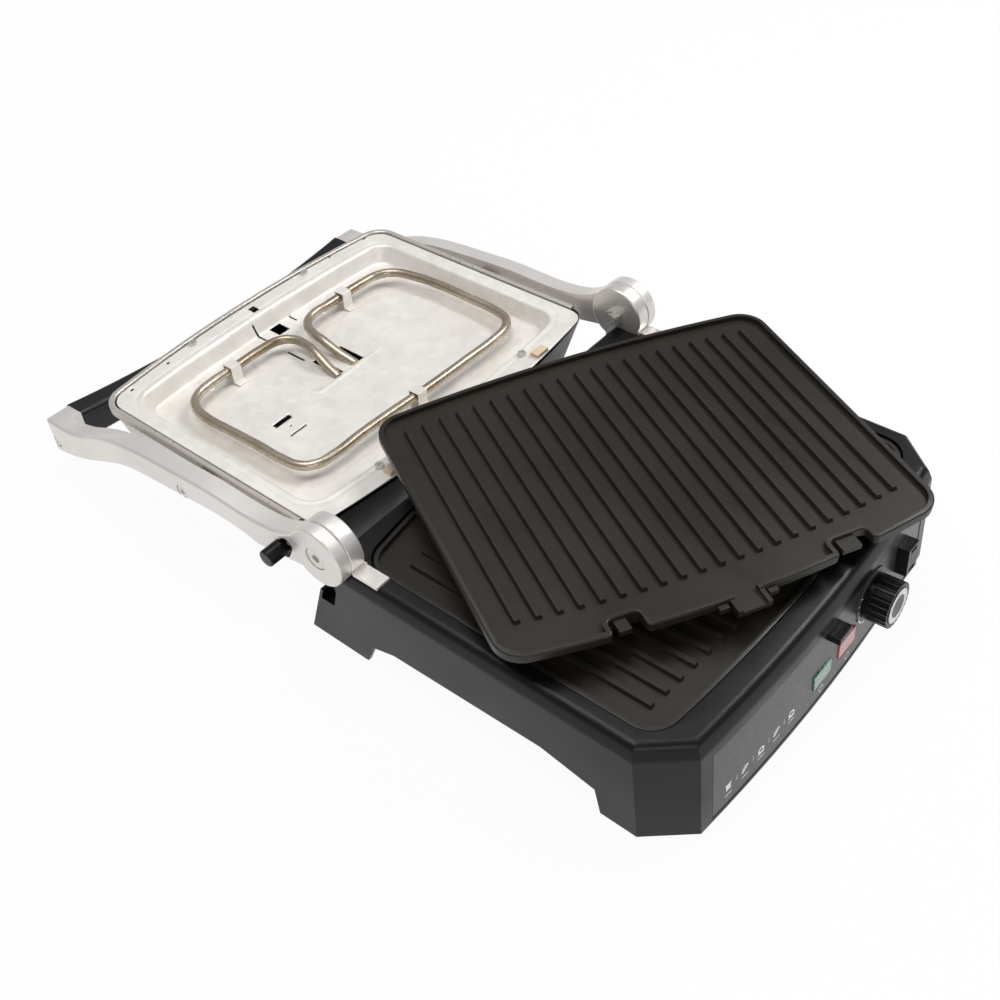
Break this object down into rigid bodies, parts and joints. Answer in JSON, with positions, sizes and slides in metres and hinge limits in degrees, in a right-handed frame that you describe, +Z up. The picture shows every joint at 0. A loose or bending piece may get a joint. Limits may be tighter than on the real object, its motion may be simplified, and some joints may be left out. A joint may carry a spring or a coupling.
{
  "type": "sandwich maker",
  "caption": "Countertop contact grill with black base, ribbed cooking plates and silver arms, its lid opened flat with heating element bare and the upper plate laid on the lower one",
  "frame": {"origin": "on the table, under the middle of the base between its side walls", "axes": "+X to the user's right, -Y to the front with the controls, +Z up; the lid lies open towards +Y"},
  "size_m": [0.3601, 0.5954, 0.1089],
  "materials": {
    "black_plastic": "fine satin",
    "panel_plastic": "semi gloss",
    "die_cast": "satin",
    "galvanised": "spangled",
    "stainless": "brushed",
    "coated_plate": "non-stick coating",
    "element_steel": "heat tinted",
    "bright_steel": "bright",
    "rubber_black": "matte",
    "ceramic_cream": "matte",
    "lens_green_plastic": "clear",
    "lens_red_plastic": "clear",
    "inner_plastic": "moulded"
  },
  "bodies": {
    "base": {"base_housing": "black_plastic", "control_panel": "panel_plastic", "rubber_feet": "rubber_black", "cover_screws": "bright_steel", "bottom_cover": "inner_plastic", "cord_gland": "black_plastic", "terminal_block": "ceramic_cream", "lower_pan": "galvanised", "lower_element": "element_steel", "lower_element_clips": "galvanised", "hinge_bracket_left": "die_cast", "hinge_bracket_right": "die_cast", "hinge_bolts": "bright_steel", "hinge_nuts": "bright_steel", "dial_plate": "panel_plastic", "thermostat_body": "inner_plastic", "release_button_guide": "inner_plastic", "power_switch_body": "inner_plastic", "release_button_spring": "bright_steel", "power_button_spring": "bright_steel", "lens_green": "lens_green_plastic", "lens_red": "lens_red_plastic", "indicator_lamps": "lens_red_plastic"},
    "lower_plate": {"lower_plate": "coated_plate"},
    "upper_plate": {"upper_plate": "coated_plate"},
    "knob": {"temperature_knob": "black_plastic", "knob_cap": "bright_steel", "thermostat_shaft": "bright_steel"},
    "release_button": {"plate_release_button": "black_plastic"},
    "power_button": {"power_button": "black_plastic"},
    "latch_bar": {"plate_latch_bar": "inner_plastic"},
    "arms": {"arm_left": "die_cast", "arm_right": "die_cast", "handle_grip": "black_plastic", "handle_rod": "bright_steel", "handle_screws": "bright_steel", "lever_pin": "bright_steel", "lid_pivot_screws": "bright_steel"},
    "lever": {"flat_open_lever": "black_plastic"},
    "lid": {"lid_cover": "stainless", "lid_hinge_side_panel": "black_plastic", "lid_rim": "stainless", "lid_frame": "inner_plastic", "lid_pan": "galvanised", "lid_element": "element_steel", "lid_element_clips": "galvanised", "lid_pan_screws": "bright_steel", "insulator_blocks": "ceramic_cream", "lid_pivot_bushes": "inner_plastic"}
  },
  "joints": [
    {"name": "lid_hinge", "type": "hinge", "parent": "base", "child": "arms", "pos_m": [0, 0.1156, 0.0874], "axis": [-1, 0, 0], "range_deg": [-160, 0]},
    {"name": "lid_level", "type": "hinge", "parent": "arms", "child": "lid", "pos_m": [0, 0.25, 0.068], "axis": [1, 0, 0], "range_deg": [-1, 6]},
    {"name": "open_flat_lever_pull", "type": "hinge", "parent": "arms", "child": "lever", "pos_m": [-0.1612, 0.144, 0.0815], "axis": [1, 0, 0], "range_deg": [-20, 0], "stiffness_Nm_per_rad": 0.02, "springref_deg": 17.19},
    {"name": "lower_plate_lift", "type": "slide", "parent": "base", "child": "lower_plate", "axis": [0, 0, 1], "range_m": [0, 0.04]},
    {"name": "upper_plate_push", "type": "slide", "parent": "lower_plate", "child": "upper_plate", "axis": [0, -1, 0], "range_m": [0, 0.0826]},
    {"name": "temperature_knob_turn", "type": "hinge", "parent": "base", "child": "knob", "pos_m": [0.047, -0.14785, 0.041], "axis": [0, -0.998, 0.0629], "range_deg": [0, 270]},
    {"name": "release_button_press", "type": "slide", "parent": "base", "child": "release_button", "axis": [0, 0.998, -0.0629], "range_m": [0, 0.003], "stiffness_N_per_m": 400, "deforming": ["release_button_spring"]},
    {"name": "latch_bar_slide", "type": "slide", "parent": "base", "child": "latch_bar", "axis": [1, 0, 0], "range_m": [0, 0.003]},
    {"name": "power_button_press", "type": "slide", "parent": "base", "child": "power_button", "axis": [0, 0.998, -0.0629], "range_m": [0, 0.003], "stiffness_N_per_m": 400, "deforming": ["power_button_spring"]}
  ],
  "couplings": [
    {"joint": "upper_plate_push", "follows": "lid_hinge", "m_per_rad": -0.029543},
    {"joint": "latch_bar_slide", "follows": "release_button_press", "ratio": 1}
  ]
}
